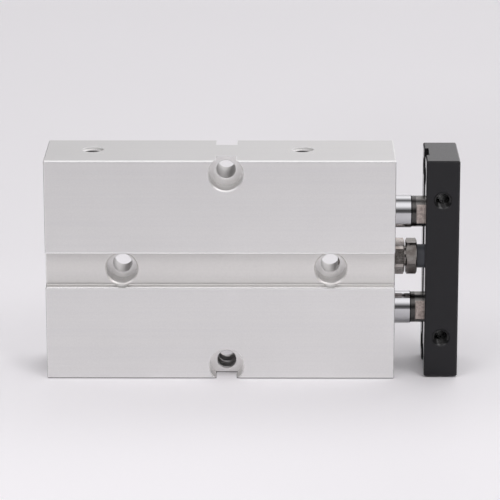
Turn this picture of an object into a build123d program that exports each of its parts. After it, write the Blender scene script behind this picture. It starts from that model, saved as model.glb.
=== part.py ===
from build123d import *
import math
import os

# Twin-rod pneumatic cylinder, 16 mm bores, 30 mm stroke, rods retracted.
# Frame: +X from the rear caps to the end plate, +Z from the sensor slots to the
# air ports, Y through the thickness.  The origin is where the line of the two
# middle mounting holes crosses the line of the upper and lower ones, at
# mid-thickness.  Millimetres.

# ------------------------------------------------------------------ dimensions
# body extrusion
BODY_T = 21.0            # thickness, Y
BODY_W = 54.0            # width across the two bores, Z
X_REAR = -43.2           # rear end face
X_FRONT = 40.3           # front end face
EDGE_R = 0.4             # rounding of the long outer edges
STRIP_W = 8.3            # sunk strip between the two bores, on both wide faces
STRIP_D = 2.0
STRIP_R = 0.3
END_CHAMFER = 0.2

# mounting holes, counterbored from both faces
MID_HOLE_X = 25.0        # two holes at +-25 on the centre line
OUTER_HOLE_Z = 23.75     # two holes at +-23.75 on X = 0
HOLE_R = 2.25            # clearance for M4
CBORE_D = 5.0
CBORE_R = 4.05           # upper and lower hole
CBORE_EDGE = 0.3
MID_CBORE_R = 3.7        # the two middle ones, whose cutter also clears the ledges
MID_CBORE_EDGE = 0.35
HOLE_EDGE = 0.12

# sensor slots in the narrow lower face
SLOT_Y = 2.2             # centre of each slot from mid-thickness
SLOT_OPEN = 3.2
SLOT_IN = 3.9
SLOT_LIP = 1.0
SLOT_DEPTH = 4.4

# bores
BORE_Z = 12.0            # each bore from the centre, 24 between the rods
BORE_R = 8.0
RING_GROOVE_R = 8.4
RING_GROOVE_A = 1.45     # groove from the end face, near and far side
RING_GROOVE_B = 2.55
BORE_MOUTH = 0.4

# air ports
PORT_FRONT_X = X_FRONT - 22.0
PORT_REAR_X = X_REAR + 11.2
PORT_R = 2.5             # M5
PORT_D = 5.5
PASSAGE_R = 1.6
PORT_CHAMFER = 0.1
PORT_Y = 0.9             # the ports sit a little behind mid-thickness

# rods
ROD_R = 4.0
ROD_SHOULDER_X = X_FRONT + 4.2
NECK_R = 3.75
FLAT_X = X_FRONT + 5.2
FLAT_Y = 3.0             # half of the 6 mm across the flats
JOURNAL_R = 2.5

# end plate
PLATE_X0 = X_FRONT + 7.2
PLATE_L = 8.0
PLATE_Y = 19.0
PLATE_Z = 53.4
PLATE_EDGE = 0.3
GROOVE_W = 7.0
GROOVE_D = 1.0
SIDE_HOLE_Z = 17.0
FACE_HOLE_Y = 5.0
FACE_HOLE_Z = 22.0
M4_R = 2.0

# stops, as distances from the front end face, positive outwards
NUT_T = 2.5
HEAD_X0 = 2.8
HEAD_X1 = 5.5
PAD_X1 = 8.15
HEX_S = 8.0
HEX_E = 8.8
BOLT_R = 2.45
BOLT_END = -13.45
STOP_Z = 0.8             # height of the stop's axis
NUT_TURN = 17
HEAD_TURN = 4
STOP_AXIS = Axis((0, 0, STOP_Z), (1, 0, 0))
STOP_PLANE = Plane(origin=(0, 0, STOP_Z), x_dir=(1, 0, 0), z_dir=(0, -1, 0))

# pieces in the bores, as distances behind the front end face
COVER_A, COVER_B = 2.6, 18.8
PISTON_NOSE_A = 51.3
PISTON_A, PISTON_B = 54.5, 69.5
PISTON_NOSE_B = 73.8
SEAL_A, SEAL_B = 55.7, 58.5
MAGNET_A, MAGNET_B = 60.2, 63.2
WEAR_A, WEAR_B = 65.0, 68.0
STROKE = 30.0

PLATE_X1 = PLATE_X0 + PLATE_L
GROOVE_X = PLATE_X0 + GROOVE_D


# ------------------------------------------------------------------ shapes used more than once
def behind(d):
    """X of a point d behind the front end face."""
    return X_FRONT - d


def turned(points, z):
    """A turned piece on the bore axis at height z: points are (x, radius)."""
    with BuildPart() as piece:
        with BuildSketch(Plane(origin=(0, 0, z), x_dir=(1, 0, 0), z_dir=(0, -1, 0))):
            with BuildLine():
                Polyline(*points, close=True)
            make_face()
        revolve(axis=Axis((0, 0, z), (1, 0, 0)))
    return piece


def o_ring(x, z, r_mid, r_section):
    """A round-section ring on the bore axis, centred at x."""
    with BuildPart() as piece:
        with BuildSketch(Plane(origin=(0, 0, z), x_dir=(1, 0, 0), z_dir=(0, -1, 0))):
            with Locations((x, r_mid)):
                Circle(r_section)
        revolve(axis=Axis((0, 0, z), (1, 0, 0)))
    return piece


def retaining_ring(x, z, gap_up):
    """An internal retaining ring 1 mm thick whose outer side is at x, with two
    eyes beside its gap.  gap_up turns the gap away from the centre line."""
    side = 1 if gap_up else -1
    with BuildPart() as piece:
        with BuildSketch(Plane(origin=(x, 0, z), x_dir=(0, 1, 0), z_dir=(1, 0, 0))):
            Circle(8.33)
            with Locations((0, 0.28 * side)):
                Circle(7.15, mode=Mode.SUBTRACT)
            for s in (-1, 1):
                a = math.radians(90 * side) + s * math.radians(24)
                with Locations((6.65 * math.cos(a), 6.65 * math.sin(a))):
                    Circle(1.15)
            with BuildLine():
                Polyline(
                    (0, 0),
                    (10 * math.cos(math.radians(90 * side - 15)), 10 * math.sin(math.radians(90 * side - 15))),
                    (0, 11 * side),
                    (10 * math.cos(math.radians(90 * side + 15)), 10 * math.sin(math.radians(90 * side + 15))),
                    close=True,
                )
            make_face(mode=Mode.SUBTRACT)
            for s in (-1, 1):
                a = math.radians(90 * side) + s * math.radians(24)
                with Locations((6.65 * math.cos(a), 6.65 * math.sin(a))):
                    Circle(0.6, mode=Mode.SUBTRACT)
        extrude(amount=1.0)
        edges_flat = piece.edges().filter_by(GeomType.CIRCLE).sort_by(SortBy.RADIUS)[-2:]
        chamfer(edges_flat, length=0.12)
    return piece


def hexagon(x0, x1, turn, bore_r, both_ends=True):
    """A hexagon piece from x0 to x1 on the stop's axis, with turned corners."""
    s2, e2 = HEX_S / 2, HEX_E / 2
    face_r = s2 - 0.12
    drop = (e2 - face_r) * math.tan(math.radians(28))
    with BuildPart() as piece:
        with BuildSketch(STOP_PLANE):
            with BuildLine():
                start = (x0 + (drop if both_ends else 0), e2)
                points = [(x0, bore_r), (x0, face_r if both_ends else e2)]
                if both_ends:
                    points.append(start)
                points += [(x1 - drop, e2), (x1, face_r), (x1, bore_r)]
                Polyline(*points, close=True)
            make_face()
        revolve(axis=STOP_AXIS)
        with BuildSketch(Plane.YZ.offset(x0 - 1)):
            with Locations((0, STOP_Z)):
                RegularPolygon(radius=s2, side_count=6, major_radius=False, rotation=turn)
        extrude(amount=x1 - x0 + 2, mode=Mode.INTERSECT)
    return piece


# ------------------------------------------------------------------ body
with BuildPart() as body_housing:
    with BuildSketch(Plane.YZ.offset(X_REAR)) as profile:
        Rectangle(BODY_T, BODY_W)
        fillet(profile.vertices(), EDGE_R)
        with Locations((-(BODY_T - STRIP_D) / 2, 0), ((BODY_T - STRIP_D) / 2, 0)):
            Rectangle(STRIP_D, STRIP_W, mode=Mode.SUBTRACT)
        ledges = [
            v
            for v in profile.vertices()
            if abs(abs(v.Z) - STRIP_W / 2) < 1e-6 or abs(abs(v.Y) - STRIP_W / 2) < 1e-6
        ]
        fillet(ledges, STRIP_R)
    extrude(amount=X_FRONT - X_REAR)
    end_edges = (
        body_housing.faces().sort_by(Axis.X)[0].edges()
        + body_housing.faces().sort_by(Axis.X)[-1].edges()
    )
    chamfer(end_edges, length=END_CHAMFER)

    # sensor slots along the lower face
    with BuildSketch(Plane.YZ.offset(X_REAR - 1)) as slots:
        for y in (-SLOT_Y, SLOT_Y):
            with Locations((y, -BODY_W / 2 + SLOT_DEPTH - SLOT_IN / 2)):
                Circle(SLOT_IN / 2)
            with Locations((y, -BODY_W / 2 + (SLOT_LIP + SLOT_DEPTH - SLOT_IN / 2) / 2)):
                Rectangle(SLOT_IN, SLOT_DEPTH - SLOT_IN / 2 - SLOT_LIP)
            with Locations((y, -BODY_W / 2 + SLOT_LIP / 2)):
                Rectangle(SLOT_OPEN, SLOT_LIP + 0.6)
    extrude(amount=X_FRONT - X_REAR + 2, mode=Mode.SUBTRACT)

    # the two bores, with a retaining ring groove and a bevelled mouth at each end
    for z in (-BORE_Z, BORE_Z):
        with BuildSketch(Plane(origin=(0, 0, z), x_dir=(1, 0, 0), z_dir=(0, -1, 0))):
            with BuildLine():
                Polyline(
                    (X_REAR - 1, 0),
                    (X_REAR - 1, BORE_R + BORE_MOUTH + 1),
                    (X_REAR + BORE_MOUTH, BORE_R),
                    (X_REAR + RING_GROOVE_A, BORE_R),
                    (X_REAR + RING_GROOVE_A, RING_GROOVE_R),
                    (X_REAR + RING_GROOVE_B, RING_GROOVE_R),
                    (X_REAR + RING_GROOVE_B, BORE_R),
                    (X_FRONT - RING_GROOVE_B, BORE_R),
                    (X_FRONT - RING_GROOVE_B, RING_GROOVE_R),
                    (X_FRONT - RING_GROOVE_A, RING_GROOVE_R),
                    (X_FRONT - RING_GROOVE_A, BORE_R),
                    (X_FRONT - BORE_MOUTH, BORE_R),
                    (X_FRONT + 1, BORE_R + BORE_MOUTH + 1),
                    (X_FRONT + 1, 0),
                    close=True,
                )
            make_face()
        revolve(axis=Axis((0, 0, z), (1, 0, 0)), mode=Mode.SUBTRACT)

    # mounting holes through the thickness; the middle ones start on the strip
    for x, z, face, seat, edge in (
        (-MID_HOLE_X, 0, BODY_T / 2 - STRIP_D, MID_CBORE_R, MID_CBORE_EDGE),
        (MID_HOLE_X, 0, BODY_T / 2 - STRIP_D, MID_CBORE_R, MID_CBORE_EDGE),
        (0, OUTER_HOLE_Z, BODY_T / 2, CBORE_R, CBORE_EDGE),
        (0, -OUTER_HOLE_Z, BODY_T / 2, CBORE_R, CBORE_EDGE),
    ):
        rim = CBORE_R + CBORE_EDGE + 0.01
        drill = HOLE_R + HOLE_EDGE
        with BuildSketch(Plane(origin=(x, 0, z), x_dir=(1, 0, 0), z_dir=(0, 0, 1))):
            with BuildLine():
                Polyline(
                    (0, -face - 3),
                    (rim, -face - 3),
                    (rim, -face),
                    (seat + edge, -face),
                    (seat, -face + edge),
                    (seat, -face + CBORE_D),
                    (drill, -face + CBORE_D),
                    (HOLE_R, -face + CBORE_D + HOLE_EDGE),
                    (HOLE_R, face - CBORE_D - HOLE_EDGE),
                    (drill, face - CBORE_D),
                    (seat, face - CBORE_D),
                    (seat, face - edge),
                    (seat + edge, face),
                    (rim, face),
                    (rim, face + 3),
                    (0, face + 3),
                    close=True,
                )
            make_face()
        revolve(axis=Axis((x, 0, z), (0, 1, 0)), mode=Mode.SUBTRACT)

    # air ports: M5 from the upper face, then a passage into both bores
    for x in (PORT_FRONT_X, PORT_REAR_X):
        with BuildSketch(Plane(origin=(x, PORT_Y, 0), x_dir=(1, 0, 0), z_dir=(0, -1, 0))):
            with BuildLine():
                top = BODY_W / 2
                Polyline(
                    (0, top + 1),
                    (PORT_R + PORT_CHAMFER + 1, top + 1),
                    (PORT_R, top - PORT_CHAMFER),
                    (PORT_R, top - PORT_D),
                    (PASSAGE_R, top - PORT_D - 0.5),
                    (PASSAGE_R, -BORE_Z + 4),
                    (0, -BORE_Z + 4),
                    close=True,
                )
            make_face()
        revolve(axis=Axis((x, PORT_Y, 0), (0, 0, 1)), mode=Mode.SUBTRACT)

    # threaded hole of the stop bolt, from the front end to the nearest middle hole
    with BuildSketch(STOP_PLANE):
        with BuildLine():
            Polyline(
                (X_FRONT + 1, 0),
                (X_FRONT + 1, 2.5 + 1.1),
                (X_FRONT - 0.1, 2.5),
                (MID_HOLE_X + 1.7, 2.5),
                (MID_HOLE_X + 1.7, 0),
                close=True,
            )
        make_face()
    revolve(axis=STOP_AXIS, mode=Mode.SUBTRACT)


# ------------------------------------------------------------------ pieces at the front of each bore
def make_rod_cover(z):
    return turned(
        [
            (behind(COVER_A), 5.98),
            (behind(COVER_A), 7.55),
            (behind(COVER_A + 0.4), 7.95),
            (behind(14.0), 7.95),
            (behind(14.0), 6.75),
            (behind(15.9), 6.75),
            (behind(15.9), 7.95),
            (behind(COVER_B - 0.4), 7.95),
            (behind(COVER_B), 7.55),
            (behind(COVER_B), 4.3),
            (behind(18.0), 4.3),
            (behind(18.0), 5.02),
            (behind(7.5), 5.02),
            (behind(7.5), 4.3),
            (behind(6.6), 4.3),
            (behind(6.6), 5.98),
        ],
        z,
    )


def make_rod_bush(z):
    return turned(
        [
            (behind(7.52), 4.25),
            (behind(7.52), 4.8),
            (behind(7.72), 5.0),
            (behind(17.8), 5.0),
            (behind(18.0), 4.8),
            (behind(18.0), 4.25),
            (behind(17.8), 4.03),
            (behind(7.72), 4.03),
        ],
        z,
    )


def make_rod_seal(z):
    # scraper lip at the front, sealing lip at the back
    return turned(
        [
            (behind(2.1), 4.03),
            (behind(2.1), 4.35),
            (behind(2.9), 5.1),
            (behind(2.9), 5.9),
            (behind(6.5), 5.9),
            (behind(6.5), 5.3),
            (behind(5.6), 5.0),
            (behind(6.4), 4.5),
            (behind(6.4), 4.03),
            (behind(5.9), 4.03),
            (behind(5.2), 4.4),
            (behind(3.4), 4.4),
            (behind(2.6), 4.03),
        ],
        z,
    )


rod_cover_upper = make_rod_cover(BORE_Z)
rod_cover_lower = make_rod_cover(-BORE_Z)
rod_bush_upper = make_rod_bush(BORE_Z)
rod_bush_lower = make_rod_bush(-BORE_Z)
rod_seal_upper = make_rod_seal(BORE_Z)
rod_seal_lower = make_rod_seal(-BORE_Z)
cover_o_ring_upper = o_ring(behind(14.95), BORE_Z, 7.36, 0.58)
cover_o_ring_lower = o_ring(behind(14.95), -BORE_Z, 7.36, 0.58)
front_retaining_ring_upper = retaining_ring(behind(2.5), BORE_Z, True)
front_retaining_ring_lower = retaining_ring(behind(2.5), -BORE_Z, False)


# ------------------------------------------------------------------ pieces at the rear of each bore
def make_rear_cap(z):
    return turned(
        [
            (X_REAR + 3.1, 0),
            (X_REAR + 3.1, 5.0),
            (X_REAR + 2.6, 5.5),
            (X_REAR + 2.6, 7.55),
            (X_REAR + 3.0, 7.95),
            (X_REAR + 5.4, 7.95),
            (X_REAR + 5.4, 6.75),
            (X_REAR + 7.3, 6.75),
            (X_REAR + 7.3, 7.95),
            (X_REAR + 8.3, 7.95),
            (X_REAR + 8.6, 7.65),
            (X_REAR + 8.6, 5.0),
            (X_REAR + 7.4, 5.0),
            (X_REAR + 7.4, 0),
        ],
        z,
    )


def make_rear_bumper(z):
    return turned(
        [
            (X_REAR + 7.42, 0),
            (X_REAR + 7.42, 4.95),
            (X_REAR + 8.8, 4.95),
            (X_REAR + 9.1, 4.65),
            (X_REAR + 9.1, 0),
        ],
        z,
    )


rear_cap_upper = make_rear_cap(BORE_Z)
rear_cap_lower = make_rear_cap(-BORE_Z)
rear_bumper_upper = make_rear_bumper(BORE_Z)
rear_bumper_lower = make_rear_bumper(-BORE_Z)
rear_cap_o_ring_upper = o_ring(X_REAR + 6.35, BORE_Z, 7.36, 0.58)
rear_cap_o_ring_lower = o_ring(X_REAR + 6.35, -BORE_Z, 7.36, 0.58)
rear_retaining_ring_upper = retaining_ring(X_REAR + 1.5, BORE_Z, True)
rear_retaining_ring_lower = retaining_ring(X_REAR + 1.5, -BORE_Z, False)


# ------------------------------------------------------------------ adjustable stop between the rods
with BuildPart() as stop_bolt:
    with BuildSketch(STOP_PLANE):
        with BuildLine():
            face_r = HEX_S / 2 - 0.12
            drop = (HEX_E / 2 - face_r) * math.tan(math.radians(28))
            Polyline(
                (X_FRONT + HEAD_X0, 0),
                (X_FRONT + HEAD_X0, face_r),
                (X_FRONT + HEAD_X0 + drop, HEX_E / 2),
                (X_FRONT + HEAD_X1 - drop, HEX_E / 2),
                (X_FRONT + HEAD_X1, face_r),
                (X_FRONT + HEAD_X1, 1.55),
                (X_FRONT + HEAD_X1 - 1.6, 1.55),
                (X_FRONT + HEAD_X1 - 1.6, 0),
                close=True,
            )
        make_face()
    revolve(axis=STOP_AXIS)
    with BuildSketch(Plane.YZ.offset(X_FRONT + HEAD_X0 - 1)):
        with Locations((0, STOP_Z)):
            RegularPolygon(radius=HEX_S / 2, side_count=6, major_radius=False, rotation=HEAD_TURN)
    extrude(amount=5, mode=Mode.INTERSECT)
    with BuildSketch(STOP_PLANE):
        with BuildLine():
            Polyline(
                (X_FRONT + HEAD_X0 + 0.5, 0),
                (X_FRONT + HEAD_X0 + 0.5, BOLT_R),
                (X_FRONT + BOLT_END + 0.2, BOLT_R),
                (X_FRONT + BOLT_END, BOLT_R - 0.2),
                (X_FRONT + BOLT_END, 0),
                close=True,
            )
        make_face()
    revolve(axis=STOP_AXIS)

stop_lock_nut = hexagon(X_FRONT, X_FRONT + NUT_T, NUT_TURN, 2.5)

with BuildPart() as stop_pad:
    with BuildSketch(STOP_PLANE):
        with BuildLine():
            Polyline(
                (X_FRONT + HEAD_X1 - 1.5, 0),
                (X_FRONT + HEAD_X1 - 1.5, 1.5),
                (X_FRONT + HEAD_X1, 1.5),
                (X_FRONT + HEAD_X1, 2.85),
                (X_FRONT + PAD_X1 - 0.25, 2.85),
                (X_FRONT + PAD_X1, 2.6),
                (X_FRONT + PAD_X1, 0),
                close=True,
            )
        make_face()
    revolve(axis=STOP_AXIS)


# ------------------------------------------------------------------ end plate
with BuildPart() as end_plate:
    with BuildSketch(Plane.YZ.offset(PLATE_X0)):
        Rectangle(PLATE_Y, PLATE_Z)
    extrude(amount=PLATE_L)
    chamfer(end_plate.edges(), length=PLATE_EDGE)
    # groove that takes the flats of both rods
    with BuildSketch(Plane.YZ.offset(PLATE_X0 - 1)):
        Rectangle(GROOVE_W, PLATE_Z + 2)
    extrude(amount=GROOVE_D + 1, mode=Mode.SUBTRACT)
    # countersunk holes for the rod screws
    for z in (-BORE_Z, BORE_Z):
        with BuildSketch(Plane(origin=(0, 0, z), x_dir=(1, 0, 0), z_dir=(0, -1, 0))):
            with BuildLine():
                Polyline(
                    (PLATE_X0 - 1, 0),
                    (PLATE_X0 - 1, 2.2),
                    (PLATE_X1 - 2.4, 2.2),
                    (PLATE_X1 - 0.3, 4.3),
                    (PLATE_X1 + 1, 4.3),
                    (PLATE_X1 + 1, 0),
                    close=True,
                )
            make_face()
        revolve(axis=Axis((0, 0, z), (1, 0, 0)), mode=Mode.SUBTRACT)
    # M4 holes from one narrow side to the other
    for z in (-SIDE_HOLE_Z, SIDE_HOLE_Z):
        with BuildSketch(
            Plane(origin=(PLATE_X0 + PLATE_L / 2, 0, z), x_dir=(1, 0, 0), z_dir=(0, 0, 1))
        ):
            with BuildLine():
                face = PLATE_Y / 2
                Polyline(
                    (0, -face - 1),
                    (M4_R + 1.2, -face - 1),
                    (M4_R, -face + 0.2),
                    (M4_R, face - 0.2),
                    (M4_R + 1.2, face + 1),
                    (0, face + 1),
                    close=True,
                )
            make_face()
        revolve(
            axis=Axis((PLATE_X0 + PLATE_L / 2, 0, z), (0, 1, 0)), mode=Mode.SUBTRACT
        )
    # four M4 holes through the plate
    for y in (-FACE_HOLE_Y, FACE_HOLE_Y):
        for z in (-FACE_HOLE_Z, FACE_HOLE_Z):
            with BuildSketch(Plane(origin=(0, y, z), x_dir=(1, 0, 0), z_dir=(0, -1, 0))):
                with BuildLine():
                    Polyline(
                        (PLATE_X0 - 1, 0),
                        (PLATE_X0 - 1, M4_R + 1.2),
                        (PLATE_X0 + 0.2, M4_R),
                        (PLATE_X1 - 0.2, M4_R),
                        (PLATE_X1 + 1, M4_R + 1.2),
                        (PLATE_X1 + 1, 0),
                        close=True,
                    )
                make_face()
            revolve(axis=Axis((0, y, z), (1, 0, 0)), mode=Mode.SUBTRACT)


# two countersunk screws with hexagon sockets that hold the plate on the rods
with BuildPart() as plate_screws:
    for z in (-BORE_Z, BORE_Z):
        with BuildSketch(Plane(origin=(0, 0, z), x_dir=(1, 0, 0), z_dir=(0, -1, 0))):
            with BuildLine():
                Polyline(
                    (PLATE_X1 - 0.25, 0),
                    (PLATE_X1 - 0.25, 3.95),
                    (PLATE_X1 - 0.5, 3.95),
                    (PLATE_X1 - 2.5, 1.95),
                    (PLATE_X1 - 15.5, 1.95),
                    (PLATE_X1 - 16, 1.5),
                    (PLATE_X1 - 16, 0),
                    close=True,
                )
            make_face()
        revolve(axis=Axis((0, 0, z), (1, 0, 0)))
        with BuildSketch(
            Plane(origin=(PLATE_X1 - 1.95, 0, z), x_dir=(0, 1, 0), z_dir=(1, 0, 0))
        ):
            RegularPolygon(radius=1.25, side_count=6, major_radius=False, rotation=15)
        extrude(amount=3, mode=Mode.SUBTRACT)


# ------------------------------------------------------------------ rods
def make_rod(z):
    with BuildPart() as rod:
        with BuildSketch(Plane(origin=(0, 0, z), x_dir=(1, 0, 0), z_dir=(0, -1, 0))):
            with BuildLine():
                Polyline(
                    (GROOVE_X - 12.8, 0),
                    (GROOVE_X - 12.0, M4_R),
                    (GROOVE_X, M4_R),
                    (GROOVE_X, NECK_R - 0.15),
                    (GROOVE_X - 0.15, NECK_R),
                    (ROD_SHOULDER_X, NECK_R),
                    (ROD_SHOULDER_X - 0.25, ROD_R),
                    (behind(PISTON_NOSE_A), ROD_R),
                    (behind(PISTON_NOSE_A), JOURNAL_R),
                    (behind(73.2), JOURNAL_R),
                    (behind(73.6), JOURNAL_R - 0.4),
                    (behind(73.6), 0),
                    close=True,
                )
            make_face()
        revolve(axis=Axis((0, 0, z), (1, 0, 0)))
        # two milled flats, 6 mm across, that sit in the groove of the plate
        for side in (-1, 1):
            with BuildSketch(
                Plane(origin=(0, side * FLAT_Y, z), x_dir=(1, 0, 0), z_dir=(0, side, 0))
            ):
                with Locations(((FLAT_X + GROOVE_X + 2) / 2, 0)):
                    RectangleRounded(GROOVE_X + 2 - FLAT_X, 4.7, 0.7)
            extrude(amount=2, mode=Mode.SUBTRACT)
    return rod


piston_rod_upper = make_rod(BORE_Z)
piston_rod_lower = make_rod(-BORE_Z)


# ------------------------------------------------------------------ pistons
def make_piston(z, with_magnet):
    outline = [
        (behind(PISTON_NOSE_A), 2.52),
        (behind(PISTON_NOSE_A), 5.7),
        (behind(PISTON_NOSE_A + 0.3), 6.0),
        (behind(PISTON_A), 6.0),
        (behind(PISTON_A), 7.62),
        (behind(PISTON_A + 0.3), 7.92),
        (behind(SEAL_A), 7.92),
        (behind(SEAL_A), 5.6),
        (behind(SEAL_B), 5.6),
        (behind(SEAL_B), 7.92),
    ]
    if with_magnet:
        outline += [
            (behind(MAGNET_A), 7.92),
            (behind(MAGNET_A), 5.6),
            (behind(MAGNET_B), 5.6),
            (behind(MAGNET_B), 7.92),
        ]
    outline += [
        (behind(WEAR_A), 7.92),
        (behind(WEAR_A), 7.0),
        (behind(WEAR_B), 7.0),
        (behind(WEAR_B), 7.92),
        (behind(PISTON_B - 0.3), 7.92),
        (behind(PISTON_B), 7.62),
        (behind(PISTON_B), 6.0),
        (behind(PISTON_NOSE_B - 0.3), 6.0),
        (behind(PISTON_NOSE_B), 5.7),
        (behind(PISTON_NOSE_B), 4.75),
        (behind(70.8), 4.75),
        (behind(70.8), 2.52),
    ]
    return turned(outline, z)


def make_piston_seal(z):
    # lip seal that works both ways
    return turned(
        [
            (behind(SEAL_A + 0.1), 5.65),
            (behind(SEAL_A + 0.1), 7.7),
            (behind(SEAL_A + 0.35), 7.96),
            (behind(SEAL_A + 0.8), 7.96),
            (behind((SEAL_A + SEAL_B) / 2), 7.45),
            (behind(SEAL_B - 0.8), 7.96),
            (behind(SEAL_B - 0.35), 7.96),
            (behind(SEAL_B - 0.1), 7.7),
            (behind(SEAL_B - 0.1), 5.65),
        ],
        z,
    )


def make_wear_ring(z):
    return turned(
        [
            (behind(WEAR_A + 0.05), 7.03),
            (behind(WEAR_A + 0.05), 7.95),
            (behind(WEAR_B - 0.05), 7.95),
            (behind(WEAR_B - 0.05), 7.03),
        ],
        z,
    )


def make_piston_bumper(z):
    return turned(
        [
            (behind(49.3), 4.05),
            (behind(49.3), 5.5),
            (behind(49.7), 5.9),
            (behind(PISTON_NOSE_A), 5.9),
            (behind(PISTON_NOSE_A), 4.05),
        ],
        z,
    )


def make_piston_nut(z, turn):
    with BuildPart() as nut:
        with BuildSketch(Plane(origin=(0, 0, z), x_dir=(1, 0, 0), z_dir=(0, -1, 0))):
            with BuildLine():
                Polyline(
                    (behind(73.5), 2.5),
                    (behind(73.5), 3.9),
                    (behind(73.25), 4.4),
                    (behind(70.82), 4.4),
                    (behind(70.82), 2.5),
                    close=True,
                )
            make_face()
        revolve(axis=Axis((0, 0, z), (1, 0, 0)))
        with BuildSketch(
            Plane(origin=(behind(74), 0, z), x_dir=(0, 1, 0), z_dir=(1, 0, 0))
        ):
            RegularPolygon(radius=4.0, side_count=6, major_radius=False, rotation=turn)
        extrude(amount=5, mode=Mode.INTERSECT)
    return nut


piston_upper = make_piston(BORE_Z, False)
piston_lower = make_piston(-BORE_Z, True)
piston_seal_upper = make_piston_seal(BORE_Z)
piston_seal_lower = make_piston_seal(-BORE_Z)
wear_ring_upper = make_wear_ring(BORE_Z)
wear_ring_lower = make_wear_ring(-BORE_Z)
piston_bumper_upper = make_piston_bumper(BORE_Z)
piston_bumper_lower = make_piston_bumper(-BORE_Z)
piston_nut_upper = make_piston_nut(BORE_Z, 10)
piston_nut_lower = make_piston_nut(-BORE_Z, 35)

# magnet that the sensors in the slots read, on the piston beside them
magnet_ring = turned(
    [
        (behind(MAGNET_A + 0.05), 5.65),
        (behind(MAGNET_A + 0.05), 7.7),
        (behind(MAGNET_B - 0.05), 7.7),
        (behind(MAGNET_B - 0.05), 5.65),
    ],
    -BORE_Z,
)


# ------------------------------------------------------------------ labels and files
body_housing.part.label = "body_housing"
rod_cover_upper.part.label = "rod_cover_upper"
rod_cover_lower.part.label = "rod_cover_lower"
rod_bush_upper.part.label = "rod_bush_upper"
rod_bush_lower.part.label = "rod_bush_lower"
rod_seal_upper.part.label = "rod_seal_upper"
rod_seal_lower.part.label = "rod_seal_lower"
cover_o_ring_upper.part.label = "cover_o_ring_upper"
cover_o_ring_lower.part.label = "cover_o_ring_lower"
front_retaining_ring_upper.part.label = "front_retaining_ring_upper"
front_retaining_ring_lower.part.label = "front_retaining_ring_lower"
rear_cap_upper.part.label = "rear_cap_upper"
rear_cap_lower.part.label = "rear_cap_lower"
rear_bumper_upper.part.label = "rear_bumper_upper"
rear_bumper_lower.part.label = "rear_bumper_lower"
rear_cap_o_ring_upper.part.label = "rear_cap_o_ring_upper"
rear_cap_o_ring_lower.part.label = "rear_cap_o_ring_lower"
rear_retaining_ring_upper.part.label = "rear_retaining_ring_upper"
rear_retaining_ring_lower.part.label = "rear_retaining_ring_lower"
stop_bolt.part.label = "stop_bolt"
stop_lock_nut.part.label = "stop_lock_nut"
stop_pad.part.label = "stop_pad"
end_plate.part.label = "end_plate"
plate_screws.part.label = "plate_screws"
piston_rod_upper.part.label = "piston_rod_upper"
piston_rod_lower.part.label = "piston_rod_lower"
piston_upper.part.label = "piston_upper"
piston_lower.part.label = "piston_lower"
piston_seal_upper.part.label = "piston_seal_upper"
piston_seal_lower.part.label = "piston_seal_lower"
wear_ring_upper.part.label = "wear_ring_upper"
wear_ring_lower.part.label = "wear_ring_lower"
piston_bumper_upper.part.label = "piston_bumper_upper"
piston_bumper_lower.part.label = "piston_bumper_lower"
piston_nut_upper.part.label = "piston_nut_upper"
piston_nut_lower.part.label = "piston_nut_lower"
magnet_ring.part.label = "magnet_ring"

os.makedirs("parts", exist_ok=True)
export_step(body_housing.part, "parts/body_housing.step")
export_step(rod_cover_upper.part, "parts/rod_cover_upper.step")
export_step(rod_cover_lower.part, "parts/rod_cover_lower.step")
export_step(rod_bush_upper.part, "parts/rod_bush_upper.step")
export_step(rod_bush_lower.part, "parts/rod_bush_lower.step")
export_step(rod_seal_upper.part, "parts/rod_seal_upper.step")
export_step(rod_seal_lower.part, "parts/rod_seal_lower.step")
export_step(cover_o_ring_upper.part, "parts/cover_o_ring_upper.step")
export_step(cover_o_ring_lower.part, "parts/cover_o_ring_lower.step")
export_step(front_retaining_ring_upper.part, "parts/front_retaining_ring_upper.step")
export_step(front_retaining_ring_lower.part, "parts/front_retaining_ring_lower.step")
export_step(rear_cap_upper.part, "parts/rear_cap_upper.step")
export_step(rear_cap_lower.part, "parts/rear_cap_lower.step")
export_step(rear_bumper_upper.part, "parts/rear_bumper_upper.step")
export_step(rear_bumper_lower.part, "parts/rear_bumper_lower.step")
export_step(rear_cap_o_ring_upper.part, "parts/rear_cap_o_ring_upper.step")
export_step(rear_cap_o_ring_lower.part, "parts/rear_cap_o_ring_lower.step")
export_step(rear_retaining_ring_upper.part, "parts/rear_retaining_ring_upper.step")
export_step(rear_retaining_ring_lower.part, "parts/rear_retaining_ring_lower.step")
export_step(stop_bolt.part, "parts/stop_bolt.step")
export_step(stop_lock_nut.part, "parts/stop_lock_nut.step")
export_step(stop_pad.part, "parts/stop_pad.step")
export_step(end_plate.part, "parts/end_plate.step")
export_step(plate_screws.part, "parts/plate_screws.step")
export_step(piston_rod_upper.part, "parts/piston_rod_upper.step")
export_step(piston_rod_lower.part, "parts/piston_rod_lower.step")
export_step(piston_upper.part, "parts/piston_upper.step")
export_step(piston_lower.part, "parts/piston_lower.step")
export_step(piston_seal_upper.part, "parts/piston_seal_upper.step")
export_step(piston_seal_lower.part, "parts/piston_seal_lower.step")
export_step(wear_ring_upper.part, "parts/wear_ring_upper.step")
export_step(wear_ring_lower.part, "parts/wear_ring_lower.step")
export_step(piston_bumper_upper.part, "parts/piston_bumper_upper.step")
export_step(piston_bumper_lower.part, "parts/piston_bumper_lower.step")
export_step(piston_nut_upper.part, "parts/piston_nut_upper.step")
export_step(piston_nut_lower.part, "parts/piston_nut_lower.step")
export_step(magnet_ring.part, "parts/magnet_ring.step")
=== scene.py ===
import math

import bmesh
import bpy
from mathutils import Matrix, Vector


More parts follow.
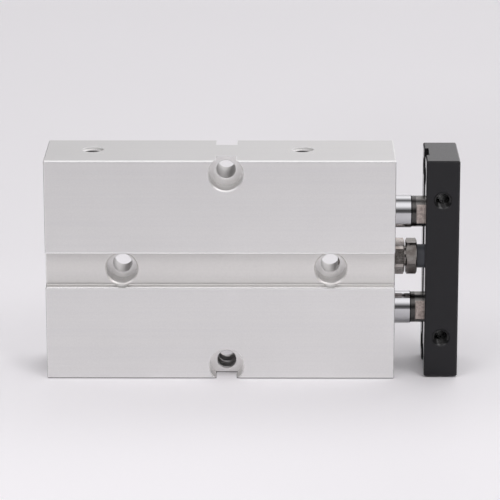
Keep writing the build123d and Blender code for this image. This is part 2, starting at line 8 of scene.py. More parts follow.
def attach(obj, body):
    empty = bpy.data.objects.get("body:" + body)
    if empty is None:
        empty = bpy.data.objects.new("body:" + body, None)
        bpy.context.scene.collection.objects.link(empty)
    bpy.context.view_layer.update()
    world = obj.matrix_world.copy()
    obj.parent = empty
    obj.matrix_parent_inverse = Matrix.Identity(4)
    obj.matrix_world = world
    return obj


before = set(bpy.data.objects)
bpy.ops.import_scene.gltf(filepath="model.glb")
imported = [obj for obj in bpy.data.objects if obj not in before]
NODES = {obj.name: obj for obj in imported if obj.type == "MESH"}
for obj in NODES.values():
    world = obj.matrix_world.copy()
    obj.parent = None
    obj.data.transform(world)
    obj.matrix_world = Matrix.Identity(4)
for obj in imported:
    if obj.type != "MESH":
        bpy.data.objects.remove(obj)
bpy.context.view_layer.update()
MM = 0.001

# Twin-rod pneumatic cylinder, retracted.  Row frame in metres: +X along the rods,
# +Z to the air ports, the camera looks along +Y.
X_REAR, X_FRONT = -43.2, 40.3
FLOOR_Z = -27.0


# ------------------------------------------------------------------ camera
def make_camera():
    data = bpy.data.cameras.new("camera")
    data.sensor_fit = "HORIZONTAL"
    data.sensor_width = 36.0
    data.lens = 214.405
    data.clip_start, data.clip_end = 0.02, 30.0
    cam = bpy.data.objects.new("camera", data)
    bpy.context.scene.collection.objects.link(cam)
    right = Vector((0.9999588704, 0.0089128898, -0.0016786362))
    up = Vector((-0.0007925764, 0.2702509869, 0.9627895803))
    ahead = Vector((-0.0090348906, 0.9627486507, -0.2702469357))
    turn = Matrix((right, up, -ahead)).transposed().to_4x4()
    cam.matrix_world = Matrix.Translation(Vector((12.106, -692.984, 196.744)) * MM) @ turn
    bpy.context.scene.camera = cam
    return cam


make_camera()


PLATE_MID = X_FRONT + 7.2 + 4.0


# ------------------------------------------------------------------ node helpers
class Nodes:
    """A small wrapper that adds nodes and links them by value, socket or number."""

    def __init__(self, tree):
        self.tree = tree

    def add(self, kind, **props):
        n = self.tree.nodes.new(kind)
        for k, v in props.items():
            setattr(n, k, v)
        return n

    def put(self, socket, value):
        if isinstance(value, bpy.types.NodeSocket):
            self.tree.links.new(value, socket)
        else:
            socket.default_value = value

    def math(self, op, a, b=None, c=None, clamp=False):
        n = self.add("ShaderNodeMath", operation=op, use_clamp=clamp)
        self.put(n.inputs[0], a)
        if b is not None:
            self.put(n.inputs[1], b)
        if c is not None:
            self.put(n.inputs[2], c)
        return n.outputs[0]

    def ramp(self, value, x0, x1, y0=0.0, y1=1.0, smooth=True):
        n = self.add(
            "ShaderNodeMapRange",
            interpolation_type="SMOOTHSTEP" if smooth else "LINEAR",
            clamp=True,
        )
        self.put(n.inputs["Value"], value)
        n.inputs["From Min"].default_value = x0
        n.inputs["From Max"].default_value = x1
        n.inputs["To Min"].default_value = y0
        n.inputs["To Max"].default_value = y1
        return n.outputs["Result"]

    def mix(self, fac, a, b):
        n = self.add("ShaderNodeMix", data_type="RGBA")
        self.put(n.inputs["Factor"], fac)
        self.put(n.inputs[6], a)
        self.put(n.inputs[7], b)
        return n.outputs[2]

    def scale_colour(self, colour, factor):
        n = self.add("ShaderNodeVectorMath", operation="SCALE")
        self.put(n.inputs[0], colour)
        self.put(n.inputs["Scale"], factor)
        return n.outputs[0]

    def noise(self, vector, scale, detail=3.0, rough=0.55, distortion=0.0):
        n = self.add("ShaderNodeTexNoise")
        self.put(n.inputs["Vector"], vector)
        n.inputs["Scale"].default_value = scale
        n.inputs["Detail"].default_value = detail
        n.inputs["Roughness"].default_value = rough
        n.inputs["Distortion"].default_value = distortion
        return n.outputs["Fac"]

    def stretched(self, vector, sx, sy, sz):
        n = self.add("ShaderNodeMapping")
        self.put(n.inputs["Vector"], vector)
        n.inputs["Scale"].default_value = (sx, sy, sz)
        return n.outputs[0]

    def tint(self, colour, by):
        n = self.add("ShaderNodeVectorMath", operation="MULTIPLY")
        self.put(n.inputs[0], colour)
        n.inputs[1].default_value = by
        return n.outputs[0]

    def xyz(self, vector):
        n = self.add("ShaderNodeSeparateXYZ")
        self.put(n.inputs[0], vector)
        return n.outputs[0], n.outputs[1], n.outputs[2]

    def far(self, u, v, u0, v0):
        """Distance in a plane from the point (u0, v0)."""
        du = self.math("SUBTRACT", u, u0)
        dv = self.math("SUBTRACT", v, v0)
        return self.math(
            "SQRT",
            self.math("ADD", self.math("MULTIPLY", du, du), self.math("MULTIPLY", dv, dv)),
        )

    def bump(self, height, strength, distance, normal=None):
        n = self.add("ShaderNodeBump")
        n.inputs["Strength"].default_value = strength
        n.inputs["Distance"].default_value = distance
        self.put(n.inputs["Height"], height)
        if normal is not None:
            self.put(n.inputs["Normal"], normal)
        return n.outputs[0]

    def edges(self, radius, low, high):
        """1 on outer and inner edges, 0 on flat places."""
        bevel = self.add("ShaderNodeBevel", samples=4)
        bevel.inputs["Radius"].default_value = radius
        geo = self.add("ShaderNodeNewGeometry")
        n = self.add("ShaderNodeVectorMath", operation="DOT_PRODUCT")
        self.put(n.inputs[0], bevel.outputs[0])
        self.put(n.inputs[1], geo.outputs["True Normal"])
        return self.ramp(n.outputs["Value"], high, low)


def material(name, viewport=(0.5, 0.5, 0.5, 1)):
    m = bpy.data.materials.new(name)
    m.use_nodes = True
    m.diffuse_color = viewport
    n = Nodes(m.node_tree)
    shader = m.node_tree.nodes["Principled BSDF"]
    place = n.add("ShaderNodeTexCoord").outputs["Object"]
    return m, n, shader, place


def any_of(n, masks):
    out = masks[0]
    for m in masks[1:]:
        out = n.math("MAXIMUM", out, m)
    return out


# ------------------------------------------------------------------ materials
def body_material():
    """Clear anodised, bead-blasted extrusion; tool marks inside its machined holes."""
    m, n, s, p = material("body_anodised_detail", (0.72, 0.72, 0.73, 1))
    x, y, z = n.xyz(p)
    blast = n.noise(p, 6500.0, 3.0, 0.6)
    cloud = n.noise(p, 55.0, 3.0, 0.5)
    speck = n.noise(p, 2300.0, 2.0, 0.5)
    lines = n.noise(n.stretched(p, 9.0, 1500.0, 1500.0), 1.0, 3.0, 0.6)
    holes = [
        n.ramp(n.far(x, z, cx * MM, cz * MM), (r + 0.01) * MM, (r - 0.01) * MM)
        for cx, cz, r in ((-25, 0, 4.06), (25, 0, 4.06), (0, 23.75, 4.36), (0, -23.75, 4.36))
    ]
    skin = n.ramp(n.math("ABSOLUTE", z), 26.99 * MM, 26.96 * MM)
    holes = [n.math("MULTIPLY", h, skin) for h in holes]
    ports = [
        n.ramp(n.far(x, y, cx * MM, 0.9 * MM), 2.64 * MM, 2.61 * MM)
        for cx in (18.3, -32.0)
    ]
    bores = [n.ramp(n.far(y, z, 0.0, cz * MM), 8.42 * MM, 8.40 * MM) for cz in (12, -12)]
    cut = any_of(n, holes + ports + bores)
    rings = any_of(
        n,
        [
            n.math(
                "MULTIPLY",
                n.math("SINE", n.math("MULTIPLY", n.far(x, z, cx * MM, cz * MM), 2 * math.pi / (0.16 * MM))),
                h,
            )
            for h, (cx, cz) in zip(holes, ((-25, 0), (25, 0), (0, 23.75), (0, -23.75)))
        ],
    )
    tool = n.noise(p, 900.0, 4.0, 0.65, 0.6)
    edge = n.edges(0.30 * MM, 0.93, 0.998)
    worn = n.math("MULTIPLY", edge, n.ramp(n.noise(p, 420.0, 3.0), 0.3, 0.7, 0.65, 1.0))
    plain = n.mix(cloud, (0.800, 0.795, 0.788, 1), (0.850, 0.844, 0.836, 1))
    plain = n.mix(n.ramp(lines, 0.35, 0.75, 0.0, 0.35), plain, (0.78, 0.775, 0.782, 1))
    plain = n.scale_colour(plain, n.ramp(speck, 0.25, 0.75, 0.98, 1.015, smooth=False))
    machined = n.mix(tool, (0.830, 0.818, 0.808, 1), (0.960, 0.950, 0.938, 1))
    colour = n.mix(cut, plain, machined)
    # painted shading: darker towards the rear end and the top, lighter towards the front end and the bottom, and the
    # top face darker still
    painted_shading = n.math(
        "MULTIPLY",
        n.ramp(x, X_REAR * MM, X_FRONT * MM, 0.945, 1.02, smooth=False),
        n.ramp(z, 27 * MM, -27 * MM, 0.945, 1.09, smooth=False),
    )
    top_face_shade = n.ramp(z, 26.7 * MM, 26.95 * MM)
    painted_shading = n.math("ADD", painted_shading, n.math("MULTIPLY", top_face_shade, n.math("SUBTRACT", 0.86, painted_shading)))
    colour = n.scale_colour(colour, painted_shading)
    # lighter rounded edges: partly edge wear, partly a painted highlight
    colour = n.mix(n.math("MULTIPLY", worn, 0.8), colour, (0.96, 0.955, 0.96, 1))
    # painted shade: the walls of the drilled through-holes are painted darker, more in the upper and lower holes
    drilled_hole_shade = any_of(
        n,
        [
            n.ramp(n.far(x, z, cx * MM, cz * MM), 2.275 * MM, 2.262 * MM)
            for cx, cz in ((-25, 0), (25, 0), (0, 23.75), (0, -23.75))
        ],
    )
    drilled_hole_shade = n.math("MULTIPLY", drilled_hole_shade, n.ramp(n.math("ABSOLUTE", z), 15 * MM, 18 * MM, 0.22, 0.34))
    colour = n.mix(drilled_hole_shade, colour, (0.40, 0.388, 0.380, 1))
    # painted shade: the slots in the bottom face are painted dark
    slot_shade = n.math(
        "MULTIPLY",
        n.math("MULTIPLY", n.ramp(z, -22.3 * MM, -22.6 * MM), n.ramp(z, -26.99 * MM, -26.93 * MM)),
        n.ramp(n.math("ABSOLUTE", y), 4.25 * MM, 4.18 * MM),
    )
    # painted shade: the threaded part of each air port is painted darker
    tapped_hole_shade = n.math(
        "MULTIPLY",
        any_of(n, [n.ramp(n.far(x, y, cx * MM, 0.9 * MM), 2.53 * MM, 2.51 * MM) for cx in (18.3, -32.0)]),
        n.ramp(z, 26.35 * MM, 26.1 * MM),
    )
    deep = n.math("ABSOLUTE", y)
    # painted shadow: a dark line along the bottom edge where the body meets the floor, and at the foot of the lower
    # counterbores
    foot_shadow = n.ramp(z, -26.74 * MM, -26.88 * MM)
    foot_shadow = n.math("MULTIPLY", foot_shadow, n.math("MAXIMUM", n.ramp(deep, 9.85 * MM, 9.95 * MM), n.ramp(deep, 5.8 * MM, 5.7 * MM)))
    # the painted shades above darken the colour towards dark grey
    painted_dark_shade = any_of(n, [n.math("MULTIPLY", slot_shade, 0.47), n.math("MULTIPLY", tapped_hole_shade, 0.7), foot_shadow])
    colour = n.mix(n.math("MULTIPLY", painted_dark_shade, 0.92), colour, (0.13, 0.126, 0.123, 1))
    # sunk strip: painted shade darkens its two long corners and, a little, its floor towards them; its outer edges are
    # painted lighter and made smoother, partly edge wear and partly a painted highlight
    away = n.math("ABSOLUTE", z)
    sunk = n.math("MULTIPLY", n.ramp(deep, 9.6 * MM, 9.4 * MM), n.ramp(deep, 8.0 * MM, 8.2 * MM))
    sunk = n.math("MULTIPLY", sunk, n.ramp(away, 4.24 * MM, 4.18 * MM))
    corner = n.math("MULTIPLY", sunk, n.ramp(away, 3.35 * MM, 3.75 * MM))
    slope = n.math("MULTIPLY", sunk, n.ramp(away, 0.4 * MM, 3.9 * MM))
    shade = n.math("ADD", n.math("MULTIPLY", corner, 0.16), n.math("MULTIPLY", slope, 0.06))
    colour = n.scale_colour(colour, n.math("SUBTRACT", 1.0, shade))
    colour = n.mix(n.math("MULTIPLY", sunk, 0.5), colour, n.tint(colour, (1.0, 0.985, 0.955)))
    rim = n.math("MULTIPLY", n.ramp(deep, 9.4 * MM, 9.6 * MM), n.ramp(away, 4.52 * MM, 4.44 * MM))
    rim = n.math("MULTIPLY", rim, n.ramp(away, 4.10 * MM, 4.15 * MM))
    # painted highlight, partly edge wear: the top face's outer edges are painted lighter and made smoother as well
    outer = n.math("MULTIPLY", n.ramp(deep, 10.06 * MM, 10.16 * MM), n.ramp(z, 26.52 * MM, 26.62 * MM))
    outer = n.math("MULTIPLY", outer, 0.72)
    rim = n.math("MAXIMUM", rim, outer)
    colour = n.mix(rim, colour, (0.98, 0.975, 0.975, 1))
    # the chamfers at both ends of the front and back faces are painted dark
    bevel = n.ramp(n.math("ABSOLUTE", n.math("SUBTRACT", x, 0.5 * (X_REAR + X_FRONT) * MM)), 41.60 * MM, 41.68 * MM)
    bevel = n.math("MULTIPLY", bevel, n.ramp(deep, 10.25 * MM, 10.35 * MM))
    colour = n.mix(n.math("MULTIPLY", bevel, 0.7), colour, (0.30, 0.29, 0.285, 1))
    # painted highlight: the mouth of each air port is painted lighter, made less metallic and rougher, so that it shows
    # as a bright crescent
    port_lip_highlight = n.math("MULTIPLY", any_of(n, ports), n.math("MULTIPLY", n.ramp(z, 26.30 * MM, 26.42 * MM), skin))
    n.put(s.inputs["Metallic"], n.math("SUBTRACT", 0.9, n.math("MULTIPLY", port_lip_highlight, 0.7)))
    colour = n.mix(n.math("MULTIPLY", port_lip_highlight, 0.85), colour, (0.95, 0.945, 0.935, 1))
    n.put(s.inputs["Base Color"], colour)
    rough = n.ramp(blast, 0.3, 0.7, 0.49, 0.545, smooth=False)
    rough = n.math("SUBTRACT", rough, n.math("MULTIPLY", cut, 0.10))
    rough = n.math("SUBTRACT", rough, n.math("MAXIMUM", n.math("MULTIPLY", worn, 0.26), n.math("MULTIPLY", rim, 0.32)))
    rough = n.math("ADD", rough, n.math("MULTIPLY", drilled_hole_shade, 0.28))
    rough = n.math("ADD", rough, n.math("MULTIPLY", port_lip_highlight, 0.2))
    n.put(s.inputs["Roughness"], rough)
    fine = n.bump(blast, 0.22, 0.012 * MM)
    fine = n.bump(lines, 0.25, 0.006 * MM, fine)
    fine = n.bump(n.math("MULTIPLY", rings, 0.5), 0.5, 0.004 * MM, fine)
    n.put(s.inputs["Normal"], fine)
    return m


def plate_material():
    """Black anodised plate, satin, with a little metal showing on its worn edges."""
    m, n, s, p = material("plate_anodised_detail", (0.03, 0.03, 0.035, 1))
    cloud = n.noise(p, 120.0, 3.0)
    grain = n.noise(n.stretched(p, 2600.0, 2600.0, 260.0), 1.0, 3.0, 0.6)
    fine = n.noise(p, 7000.0, 2.0)
    edge = n.edges(0.22 * MM, 0.90, 0.99)
    worn = n.math("MULTIPLY", edge, n.ramp(n.noise(p, 700.0, 3.0, 0.65), 0.48, 0.72))
    colour = n.mix(cloud, (0.0036, 0.0036, 0.0052, 1), (0.0066, 0.0064, 0.0086, 1))
    colour = n.mix(n.math("MULTIPLY", worn, 0.35), colour, (0.16, 0.145, 0.14, 1))
    x, y, z = n.xyz(p)
    # painted shade: the threaded side holes are painted darker than the rest of the plate; they are also smoother
    tapped_hole_shade = any_of(
        n,
        [
            n.ramp(n.far(x, z, PLATE_MID * MM, cz * MM), 2.03 * MM, 2.01 * MM)
            for cz in (17.0, -17.0)
        ],
    )
    tapped_hole_shade = n.math("MULTIPLY", tapped_hole_shade, n.ramp(n.math("ABSOLUTE", y), 9.45 * MM, 9.25 * MM))
    inner = n.ramp(x, (X_FRONT + 7.26) * MM, (X_FRONT + 7.22) * MM)
    colour = n.mix(tapped_hole_shade, colour, (0.0030, 0.0030, 0.0034, 1))
    n.put(s.inputs["Base Color"], colour)
    s.inputs["IOR"].default_value = 1.42
    s.inputs["Specular IOR Level"].default_value = 0.5
    rough = n.ramp(grain, 0.25, 0.75, 0.27, 0.37, smooth=False)
    rough = n.math("SUBTRACT", rough, n.math("MULTIPLY", tapped_hole_shade, 0.14))
    rough = n.math("SUBTRACT", rough, n.math("MULTIPLY", inner, 0.16))
    n.put(s.inputs["Roughness"], rough)
    b = n.bump(grain, 0.22, 0.006 * MM)
    b = n.bump(fine, 0.15, 0.005 * MM, b)
    n.put(s.inputs["Normal"], b)
    return m


def chrome_material():
    """Ground and chromed rod; its turned neck and milled flats are bare steel."""
    m, n, s, p = material("rod_chrome_detail", (0.8, 0.8, 0.82, 1))
    x, y, z = n.xyz(p)
    ground = n.noise(n.stretched(p, 30000.0, 300.0, 300.0), 1.0, 3.0, 0.6)
    haze = n.noise(p, 260.0, 3.0)
    bare = n.ramp(x, (X_FRONT + 3.97) * MM, (X_FRONT + 4.0) * MM)
    flat = n.math(
        "MULTIPLY",
        n.ramp(x, (X_FRONT + 5.15) * MM, (X_FRONT + 5.22) * MM),
        n.ramp(n.math("ABSOLUTE", y), 3.06 * MM, 3.02 * MM),
    )
    side = n.ramp(n.math("ABSOLUTE", y), 2.90 * MM, 2.97 * MM)
    flat = n.math("MULTIPLY", flat, side)
    mottle = n.noise(p, 1500.0, 4.0, 0.7, 0.4)
    chrome = n.mix(haze, (0.51, 0.51, 0.522, 1), (0.57, 0.57, 0.583, 1))
    steel = n.mix(mottle, (0.13, 0.125, 0.120, 1), (0.24, 0.232, 0.225, 1))
    milled = n.mix(n.ramp(mottle, 0.3, 0.7), (0.33, 0.275, 0.25, 1), (0.62, 0.545, 0.50, 1))
    rim = n.math("MULTIPLY", n.ramp(x, (X_FRONT + 5.15) * MM, (X_FRONT + 5.2) * MM), n.ramp(x, (X_FRONT + 5.42) * MM, (X_FRONT + 5.36) * MM))
    milled = n.mix(n.math("MULTIPLY", rim, 0.7), milled, (0.15, 0.135, 0.125, 1))
    # the neck is painted darker, partly oxide and partly painted shade
    neck = n.ramp(x, (X_FRONT + 5.22) * MM, (X_FRONT + 5.12) * MM, 0.0, 0.55)
    steel = n.scale_colour(steel, n.math("SUBTRACT", 1.0, neck))
    colour = n.mix(bare, chrome, steel)
    colour = n.mix(flat, colour, milled)
    n.put(s.inputs["Base Color"], colour)
    s.inputs["Metallic"].default_value = 1.0
    rough = n.ramp(ground, 0.3, 0.7, 0.07, 0.105, smooth=False)
    rough = n.math("ADD", rough, n.math("MULTIPLY", bare, 0.12))
    rough = n.math("ADD", rough, n.math("MULTIPLY", flat, 0.14))
    n.put(s.inputs["Roughness"], rough)
    b = n.bump(ground, 0.10, 0.0015 * MM)
    b = n.bump(n.math("MULTIPLY", mottle, n.math("ADD", flat, n.math("MULTIPLY", bare, 0.3))), 0.5, 0.02 * MM, b)
    n.put(s.inputs["Normal"], b)
    return m


def stop_material():
    """Dark plated steel of the stop bolt and its nut, browned here and there."""
    m, n, s, p = material("stop_steel_detail", (0.24, 0.22, 0.2, 1))
    x, y, z = n.xyz(p)
    stain = n.noise(p, 520.0, 4.0, 0.6)
    fine = n.noise(p, 4200.0, 3.0, 0.6)
    edge = n.edges(0.18 * MM, 0.88, 0.99)
    colour = n.mix(n.ramp(stain, 0.35, 0.65), (0.300, 0.265, 0.246, 1), (0.470, 0.442, 0.420, 1))
    head = n.math("MULTIPLY", n.ramp(x, (X_FRONT + 2.62) * MM, (X_FRONT + 2.72) * MM), 0.46)
    colour = n.scale_colour(colour, n.math("SUBTRACT", 1.0, head))
    colour = n.mix(n.math("MULTIPLY", edge, 0.35), colour, (0.56, 0.54, 0.52, 1))
    n.put(s.inputs["Base Color"], colour)
    s.inputs["Metallic"].default_value = 1.0
    n.put(s.inputs["Roughness"], n.ramp(stain, 0.3, 0.7, 0.17, 0.26))
    turned = n.math("SINE", n.math("MULTIPLY", n.far(y, z, 0.0, 0.8 * MM), 2 * math.pi / (0.14 * MM)))
    b = n.bump(fine, 0.35, 0.012 * MM)
    b = n.bump(turned, 0.15, 0.002 * MM, b)
    n.put(s.inputs["Normal"], b)
    return m


def turned_metal(name, axis_z, dark, light, rough0, rough1, pitch=0.13, metallic=1.0):
    """Turned piece: fine rings round the bore axis at height axis_z (or both bores)."""
    m, n, s, p = material(name, (*light[:3], 1))
    x, y, z = n.xyz(p)
    z_off = n.math("SUBTRACT", n.math("ABSOLUTE", z), axis_z * MM)
    r = n.far(y, z_off, 0.0, 0.0)
    stain = n.noise(p, 420.0, 3.0)
    fine = n.noise(p, 5200.0, 3.0)
    colour = n.mix(stain, dark, light)
    edge = n.edges(0.15 * MM, 0.88, 0.99)
    colour = n.mix(n.math("MULTIPLY", edge, 0.3), colour, tuple(min(1.0, c * 1.35) for c in light[:3]) + (1,))
    n.put(s.inputs["Base Color"], colour)
    s.inputs["Metallic"].default_value = metallic
    n.put(s.inputs["Roughness"], n.ramp(fine, 0.3, 0.7, rough0, rough1, smooth=False))
    rings = n.math("SINE", n.math("MULTIPLY", r, 2 * math.pi / (pitch * MM)))
    along = n.math("SINE", n.math("MULTIPLY", x, 2 * math.pi / (pitch * MM)))
    b = n.bump(rings, 0.35, 0.003 * MM)
    b = n.bump(along, 0.35, 0.003 * MM, b)
    b = n.bump(fine, 0.25, 0.006 * MM, b)
    n.put(s.inputs["Normal"], b)
    return m


def moulded(name, dark, light, rough0, rough1, grain=3000.0, height=0.012, scale=300.0):
    """Rubber or plastic with moulding grain."""
    m, n, s, p = material(name, (*light[:3], 1))
    cloud = n.noise(p, scale, 3.0)
    fine = n.noise(p, grain, 3.0, 0.6)
    n.put(s.inputs["Base Color"], n.mix(cloud, dark, light))
    n.put(s.inputs["Roughness"], n.ramp(fine, 0.3, 0.7, rough0, rough1, smooth=False))
    n.put(s.inputs["Normal"], n.bump(fine, 0.4, height * MM))
    return m


MATERIALS = {
    "body_anodised": body_material(),
    "plate_anodised": plate_material(),
    "rod_chrome": chrome_material(),
    "stop_steel": stop_material(),
    "turned_aluminium": turned_metal(
        "turned_aluminium_detail", 12.0, (0.60, 0.60, 0.61, 1), (0.74, 0.74, 0.75, 1), 0.26, 0.36
    ),
    "bronze": turned_metal(
        "bronze_detail", 12.0, (0.40, 0.27, 0.13, 1), (0.60, 0.44, 0.25, 1), 0.34, 0.46
    ),
    "spring_steel": turned_metal(
        "spring_steel_detail", 12.0, (0.07, 0.07, 0.075, 1), (0.15, 0.145, 0.14, 1), 0.36, 0.5
    ),
    "screw_steel": turned_metal(
        "screw_steel_detail", 12.0, (0.030, 0.030, 0.034, 1), (0.065, 0.063, 0.066, 1), 0.27, 0.38
    ),
    "plated_steel": turned_metal(
        "plated_steel_detail", 12.0, (0.52, 0.52, 0.50, 1), (0.68, 0.68, 0.65, 1), 0.24, 0.34
    ),
    "magnet": turned_metal(
        "magnet_detail", 12.0, (0.06, 0.06, 0.065, 1), (0.12, 0.12, 0.125, 1), 0.4, 0.55
    ),
    "rubber": moulded("rubber_detail", (0.014, 0.014, 0.015, 1), (0.028, 0.028, 0.030, 1), 0.38, 0.52),
    "pad_rubber": moulded("pad_rubber_detail", (0.120, 0.127, 0.144, 1), (0.160, 0.168, 0.188, 1), 0.42, 0.56),
    "wear_plastic": moulded("wear_plastic_detail", (0.62, 0.58, 0.50, 1), (0.74, 0.70, 0.62, 1), 0.34, 0.46),
}

for node in NODES.values():
    slot = node.material_slots[0].material.name.split(".")[0]
    node.material_slots[0].material = MATERIALS[slot]


# ------------------------------------------------------------------ screw threads
def inner_thread(name, centre, along, across, wall, pitch, start, end, body, slot):
    """The ridge of a screw thread on the wall of a hole.  centre is a point on the
    hole's axis, along its direction and across a direction square to it; start and
    end are distances along the axis.  The ridge is one closed solid that fades out
    at both ends and stands 0.02 mm in the wall."""
    along, across = Vector(along), Vector(across)
    third = along.cross(across)
    crest = wall - 0.5413 * pitch
    per_turn = 44
    turns = (end - start) / pitch
    count = int(per_turn * turns)
    bm = bmesh.new()
    rings = []
    for i in range(count + 1):
        t = i / per_turn
        a = 2 * math.pi * t
        fade = min(1.0, t / 0.4, (turns - t) / 0.4)
        fade = max(0.0, fade)
        fade = fade * fade * (3 - 2 * fade)
        radial = across * math.cos(a) + third * math.sin(a)
        mid = start + t * pitch
        h = 0.03 + 0.97 * fade
        inner = wall + 0.02 - (wall + 0.02 - crest) * h
        w_out, w_in = 0.43 * pitch * (0.25 + 0.75 * fade), 0.115 * pitch * (0.25 + 0.75 * fade)
        ring = [
            bm.verts.new((Vector(centre) + radial * r + along * (mid + w)) * MM)
            for r, w in ((wall + 0.02, -w_out), (inner, -w_in), (inner, w_in), (wall + 0.02, w_out))
        ]
        rings.append(ring)
    for a, b in zip(rings, rings[1:]):
        for k in range(4):
            bm.faces.new((a[k], a[(k + 1) % 4], b[(k + 1) % 4], b[k]))
    bm.faces.new(rings[0][::-1])
    bm.faces.new(rings[-1])
    bmesh.ops.recalc_face_normals(bm, faces=bm.faces)
    mesh = bpy.data.meshes.new(name)
    bm.to_mesh(mesh)
    bm.free()
    mesh.materials.append(MATERIALS[slot])
    obj = bpy.data.objects.new(name, mesh)
    bpy.context.scene.collection.objects.link(obj)
    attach(obj, body)
    return obj


for label, port_x in (("front", X_FRONT - 22.0), ("rear", X_REAR + 11.2)):
    inner_thread(
        "port_thread_" + label, (port_x, 0.9, 27.0), (0, 0, -1), (1, 0, 0), 2.5, 0.8, 0.30, 5.3, "body", "body_anodised"
    )

for label, hole_z in (("upper", 17.0), ("lower", -17.0)):
    inner_thread(
        "side_thread_" + label, (PLATE_MID, -9.5, hole_z), (0, 1, 0), (1, 0, 0), 2.0, 0.7, 0.25, 18.75, "slide", "plate_anodised"
    )
for label, hole_y, hole_z in (
    ("near_upper", -5, 22),
    ("far_upper", 5, 22),
    ("near_lower", -5, -22),
    ("far_lower", 5, -22),
):
    inner_thread(
        "face_thread_" + label, (X_FRONT + 15.2, hole_y, hole_z), (-1, 0, 0), (0, 1, 0), 2.0, 0.7, 0.25, 7.75, "slide", "plate_anodised"
    )


# ------------------------------------------------------------------ floor and light
def make_floor():
    bm = bmesh.new()
    bmesh.ops.create_grid(bm, x_segments=8, y_segments=8, size=4.0)
    mesh = bpy.data.meshes.new("floor")
    bm.to_mesh(mesh)
    bm.free()
    floor = bpy.data.objects.new("floor", mesh)
    bpy.context.scene.collection.objects.link(floor)
    floor.location = (0, 0, (FLOOR_Z - 0.02) * MM)
    m, n, s, p = material("floor_paper", (0.85, 0.85, 0.86, 1))
    cloud = n.noise(p, 5.0, 3.0)
    paper = n.mix(cloud, (0.885, 0.872, 0.892, 1), (0.905, 0.892, 0.912, 1))
    back = n.xyz(p)[1]
    # painted light falloff: the floor is painted lighter in front of the object and darker behind it
    paper = n.scale_colour(paper, n.ramp(back, 0.010, 0.11, 1.055, 0.965))
    across = n.xyz(p)[0]
    # painted light and shade: a lighter patch at the left front and a darker area on the right, near the object
    right = n.math("MULTIPLY", n.ramp(across, -0.01, 0.055), n.ramp(back, 0.34, 0.2))
    left = n.math("MULTIPLY", n.ramp(across, 0.01, -0.04), n.ramp(back, 0.0, -0.03))
    painted_light_patches = n.math("SUBTRACT", n.math("MULTIPLY", left, 0.03), n.math("MULTIPLY", right, 0.05))
    n.put(s.inputs["Base Color"], n.scale_colour(paper, n.math("ADD", 1.0, painted_light_patches)))
    n.put(s.inputs["Roughness"], n.ramp(n.noise(p, 900.0, 3.0), 0.3, 0.7, 0.55, 0.65))
    s.inputs["Specular IOR Level"].default_value = 0.15
    mesh.materials.append(m)
    return floor


make_floor()


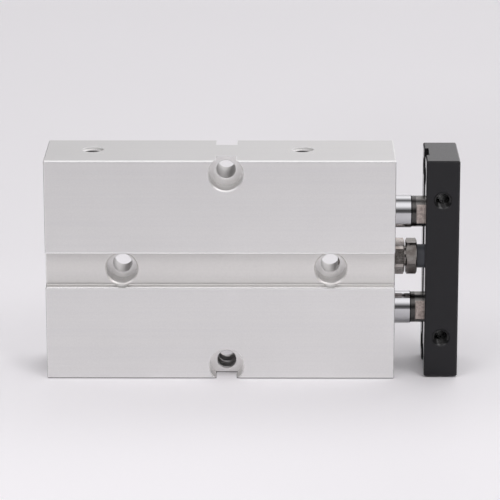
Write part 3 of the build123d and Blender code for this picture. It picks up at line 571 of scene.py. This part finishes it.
def make_world():
    """Light tent: pale all round, dimmer in front, with the dark seam over the
    object.  What the camera sees of it past the floor is plain."""
    world = bpy.data.worlds.new("tent")
    world.use_nodes = True
    bpy.context.scene.world = world
    tree = world.node_tree
    n = Nodes(tree)
    tree.nodes.clear()
    d = n.add("ShaderNodeTexCoord").outputs["Generated"]
    x, y, z = n.xyz(d)
    deg = math.radians
    front = n.math("MULTIPLY", y, -1.0)
    around = n.math("ARCTAN2", x, front)          # 0 in front, plus to the right
    high = n.math("ARCSINE", z)
    # angle in the plane of Y and Z, from the front horizon over the zenith to the back one
    over = n.math("ARCTAN2", z, front)
    aside = n.math("ABSOLUTE", around)
    to_back = n.ramp(aside, deg(80), deg(100))
    to_right = n.ramp(x, -0.30, 0.30)
    # low part of the tent: opening in front, its sides, the back
    side = n.ramp(to_right, 0.0, 1.0, TENT["side"][0], TENT["side"][1], smooth=False)
    low_front = n.ramp(aside, deg(41), deg(49))
    low_front = n.math("ADD", TENT["opening"], n.math("MULTIPLY", low_front, n.math("SUBTRACT", side, TENT["opening"])))
    low_back = n.ramp(n.ramp(x, -0.30, 0.14), 0.0, 1.0, TENT["low_back"][0], TENT["low_back"][1], smooth=False)
    low = n.math("ADD", low_front, n.math("MULTIPLY", to_back, n.math("SUBTRACT", low_back, low_front)))
    # high part
    high_front = n.ramp(to_right, 0.0, 1.0, TENT["high_front"][0], TENT["high_front"][1], smooth=False)
    high_back = n.ramp(to_right, 0.0, 1.0, TENT["high_back"][0], TENT["high_back"][1], smooth=False)
    upper = n.math("ADD", high_front, n.math("MULTIPLY", n.ramp(over, deg(84), deg(96)), n.math("SUBTRACT", high_back, high_front)))
    rise = n.math(
        "ADD",
        n.math("MULTIPLY", n.math("SUBTRACT", 1.0, to_back), n.ramp(high, deg(22), deg(52))),
        n.math("MULTIPLY", to_back, n.ramp(high, deg(36), deg(44))),
    )
    level = n.math("ADD", low, n.math("MULTIPLY", rise, n.math("SUBTRACT", upper, low)))
    seam = n.math(
        "MULTIPLY",
        n.ramp(over, deg(64), deg(92)),
        n.ramp(over, deg(116), deg(94)),
    )
    level = n.math("MULTIPLY", level, n.math("SUBTRACT", 1.0, n.math("MULTIPLY", seam, 0.82)))
    # a brighter band behind the seam, and the dark gap in front where the viewer stands
    band = n.math("MULTIPLY", n.ramp(over, deg(114), deg(122)), n.ramp(over, deg(142), deg(134)))
    level = n.math("MULTIPLY", level, n.math("ADD", 1.0, n.math("MULTIPLY", band, 0.35)))
    gap = n.math("MULTIPLY", n.ramp(over, deg(3), deg(12)), n.ramp(over, deg(28), deg(19)))
    gap = n.math("MULTIPLY", gap, n.ramp(n.math("ABSOLUTE", x), 0.5, 0.3))
    level = n.math("MULTIPLY", level, n.math("SUBTRACT", 1.0, n.math("MULTIPLY", gap, 0.65)))
    tent = n.add("ShaderNodeBackground")
    tent.inputs["Color"].default_value = (1.0, 0.985, 1.0, 1)
    n.put(tent.inputs["Strength"], level)
    plain = n.add("ShaderNodeBackground")
    plain.inputs["Color"].default_value = (0.745, 0.735, 0.75, 1)
    plain.inputs["Strength"].default_value = 1.0
    path = n.add("ShaderNodeLightPath")
    both = n.add("ShaderNodeMixShader")
    n.put(both.inputs[0], path.outputs["Is Camera Ray"])
    n.put(both.inputs[1], tent.outputs[0])
    n.put(both.inputs[2], plain.outputs[0])
    out = n.add("ShaderNodeOutputWorld")
    n.put(out.inputs["Surface"], both.outputs[0])


def make_lamp(name, around, high, away, width, height, power):
    """Soft lamp aimed at the object; around is 0 in front and plus to the right."""
    a, h = math.radians(around), math.radians(high)
    place = Vector((math.cos(h) * math.sin(a), -math.cos(h) * math.cos(a), math.sin(h))) * away
    data = bpy.data.lights.new(name, "AREA")
    data.shape = "RECTANGLE"
    data.size, data.size_y = width, height
    data.energy = power
    data.color = (1.0, 0.985, 1.0)
    lamp = bpy.data.objects.new(name, data)
    bpy.context.scene.collection.objects.link(lamp)
    lamp.location = place
    lamp.rotation_mode = "QUATERNION"
    lamp.rotation_quaternion = (-place).to_track_quat("-Z", "Y")
    return lamp


TENT = {
    "opening": 0.30,
    "side": (0.30, 0.30),
    "low_back": (0.03, 1.14),
    "high_front": (1.36, 1.54),
    "high_back": (1.20, 1.10),
}
make_world()
make_lamp("lamp_left", -36, 44, 0.9, 0.34, 0.34, 0.62)
make_lamp("lamp_right", 36, 44, 0.9, 0.34, 0.34, 1.12)

view = bpy.context.scene.view_settings
view.view_transform = "Standard"
view.look = "None"
view.exposure = 0.0
view.gamma = 1.0
